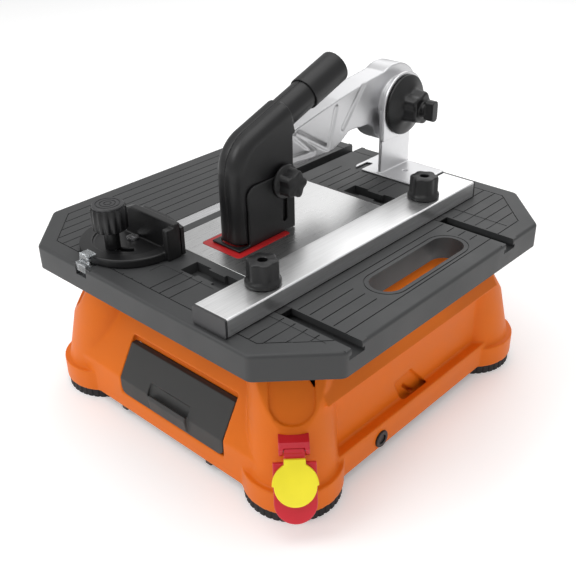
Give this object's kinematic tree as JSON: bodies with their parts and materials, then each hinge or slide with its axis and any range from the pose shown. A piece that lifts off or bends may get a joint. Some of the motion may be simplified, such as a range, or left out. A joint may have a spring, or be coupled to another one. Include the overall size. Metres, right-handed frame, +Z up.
{
  "type": "benchtop saw with an upright reciprocating blade",
  "caption": "Benchtop saw: upright jigsaw blade through a grooved table on a four-legged base, with a hood on a pivoting arm, rip fence, miter gauge, drawer and stop paddle.",
  "frame": {"origin": "on the ground, under the middle of the saw's bounding box", "axes": "+Y is the feed direction, from the drawer to the arm's pivot; +X is to the right as seen from the drawer; +Z is up"},
  "size_m": [0.406, 0.443, 0.3435],
  "materials": {
    "orange_plastic": "moulded, satin",
    "table_plastic": "fine grain, satin",
    "satin_plate": "satin",
    "red_insert": "satin",
    "black_plastic": "moulded, satin",
    "grey_plastic": "moulded, satin",
    "foot_rubber": "matt",
    "bracket_steel": "satin",
    "arm_aluminium": "satin",
    "fence_aluminium": "satin anodised",
    "miter_head_paint": "satin",
    "bar_steel": "satin",
    "clear_pointer": "clear plastic",
    "fastener_steel": "zinc plated",
    "drive_steel": "machined",
    "bronze": "sintered",
    "carbon": "pressed carbon",
    "gearbox_aluminium": "die cast",
    "motor_can": "moulded",
    "red_plastic": "moulded, satin",
    "yellow_plastic": "moulded, satin"
  },
  "bodies": {
    "saw": {"work_table": "table_plastic", "table_screws": "fastener_steel", "insert_plate": "satin_plate", "blade_insert": "red_insert", "base_housing": "orange_plastic", "foot_front_left": "foot_rubber", "foot_front_right": "foot_rubber", "foot_rear_left": "foot_rubber", "foot_rear_right": "foot_rubber", "bottom_plate": "grey_plastic", "base_screws": "fastener_steel", "cover_clips": "black_plastic", "side_plug": "black_plastic", "cord_gland": "black_plastic", "switch_frame": "red_plastic", "switch_pin": "fastener_steel", "power_switch": "black_plastic", "arm_bracket": "bracket_steel", "bracket_bolts": "fastener_steel", "pivot_bolt": "fastener_steel", "plunger_bushes": "bronze", "gear_bearing": "drive_steel", "gearbox_housing": "gearbox_aluminium", "front_bearing": "drive_steel", "rear_bearing": "drive_steel", "stator": "drive_steel", "motor_housing": "motor_can", "carbon_brushes": "carbon", "motor_screws": "fastener_steel"},
    "arm": {"support_arm": "arm_aluminium", "hood_left": "black_plastic", "hood_right": "black_plastic", "hood_screws": "fastener_steel", "dust_sleeve": "black_plastic"},
    "arm_lock_knob": {"arm_lock_knob": "black_plastic"},
    "hold_down": {"hold_down_foot": "black_plastic"},
    "hold_down_knob": {"hold_down_knob": "black_plastic"},
    "fence": {"fence_rail": "fence_aluminium", "fence_end_caps": "grey_plastic", "fence_slide_blocks": "black_plastic", "fence_t_bolts": "fastener_steel"},
    "fence_knob_front": {"fence_knob_front": "black_plastic"},
    "fence_knob_rear": {"fence_knob_rear": "black_plastic"},
    "miter_bar": {"miter_bar": "bar_steel", "miter_pivot": "bar_steel", "miter_pointer": "clear_pointer"},
    "miter_head": {"miter_head": "miter_head_paint", "miter_face": "miter_head_paint"},
    "miter_knob": {"miter_knob": "black_plastic", "miter_knob_cap": "grey_plastic"},
    "blade": {"saw_blade": "drive_steel", "blade_clamp": "drive_steel", "plunger": "drive_steel"},
    "crank_gear": {"crank_gear": "drive_steel"},
    "armature": {"armature": "drive_steel", "cooling_fan": "black_plastic"},
    "drawer": {"drawer_front": "black_plastic", "drawer_tray": "black_plastic"},
    "stop_paddle": {"stop_paddle": "red_plastic"},
    "safety_key": {"safety_key": "yellow_plastic"}
  },
  "joints": [
    {"name": "arm_lift", "type": "hinge", "parent": "saw", "child": "arm", "pos_m": [-0.02, 0.17702, 0.2605], "axis": [-1, 0, 0], "range_deg": [0, 60]},
    {"name": "arm_knob_turn", "type": "hinge", "parent": "saw", "child": "arm_lock_knob", "pos_m": [0.01, 0.17702, 0.2605], "axis": [1, 0, 0], "continuous": true},
    {"name": "hold_down_lift", "type": "slide", "parent": "arm", "child": "hold_down", "axis": [0, 0, 1], "range_m": [0, 0.04]},
    {"name": "hold_down_knob_turn", "type": "hinge", "parent": "arm", "child": "hold_down_knob", "pos_m": [0.02, -0.03648, 0.239], "axis": [1, 0, 0], "continuous": true},
    {"name": "fence_shift", "type": "slide", "parent": "saw", "child": "fence", "axis": [1, 0, 0], "range_m": [-0.02, 0.06]},
    {"name": "fence_knob_front_turn", "type": "hinge", "parent": "fence", "child": "fence_knob_front", "pos_m": [0.0984, -0.14997, 0.204], "axis": [0, 0, 1], "continuous": true},
    {"name": "fence_knob_rear_turn", "type": "hinge", "parent": "fence", "child": "fence_knob_rear", "pos_m": [0.0984, 0.09002, 0.204], "axis": [0, 0, 1], "continuous": true},
    {"name": "miter_feed", "type": "slide", "parent": "saw", "child": "miter_bar", "axis": [0, 1, 0], "range_m": [-0.03, 0.2]},
    {"name": "miter_angle", "type": "hinge", "parent": "miter_bar", "child": "miter_head", "pos_m": [-0.076, -0.15598, 0.189], "axis": [0, 0, 1], "range_deg": [-45, 45]},
    {"name": "miter_knob_turn", "type": "hinge", "parent": "miter_bar", "child": "miter_knob", "pos_m": [-0.076, -0.17997, 0.204], "axis": [0, 0, 1], "continuous": true},
    {"name": "blade_stroke", "type": "slide", "parent": "saw", "child": "blade", "axis": [0, 0, 1], "range_m": [0, 0.02]},
    {"name": "armature_spin", "type": "hinge", "parent": "saw", "child": "armature", "pos_m": [0, -0.00997, 0.0699], "axis": [0, 1, 0], "continuous": true},
    {"name": "crank_spin", "type": "hinge", "parent": "saw", "child": "crank_gear", "pos_m": [0, -0.05498, 0.1], "axis": [0, 1, 0], "continuous": true},
    {"name": "drawer_pull", "type": "slide", "parent": "saw", "child": "drawer", "axis": [0, -1, 0], "range_m": [0, 0.065]},
    {"name": "stop_press", "type": "hinge", "parent": "saw", "child": "stop_paddle", "pos_m": [0.16884, -0.19032, 0.0802], "axis": [0.7071, 0.7071, 0], "range_deg": [0, 8], "stiffness_Nm_per_rad": 0.5},
    {"name": "key_pull", "type": "slide", "parent": "stop_paddle", "child": "safety_key", "axis": [0.63, -0.63, 0.454], "range_m": [0, 0.02]}
  ],
  "couplings": [
    {"joint": "crank_spin", "follows": "armature_spin", "ratio": -0.25}
  ]
}
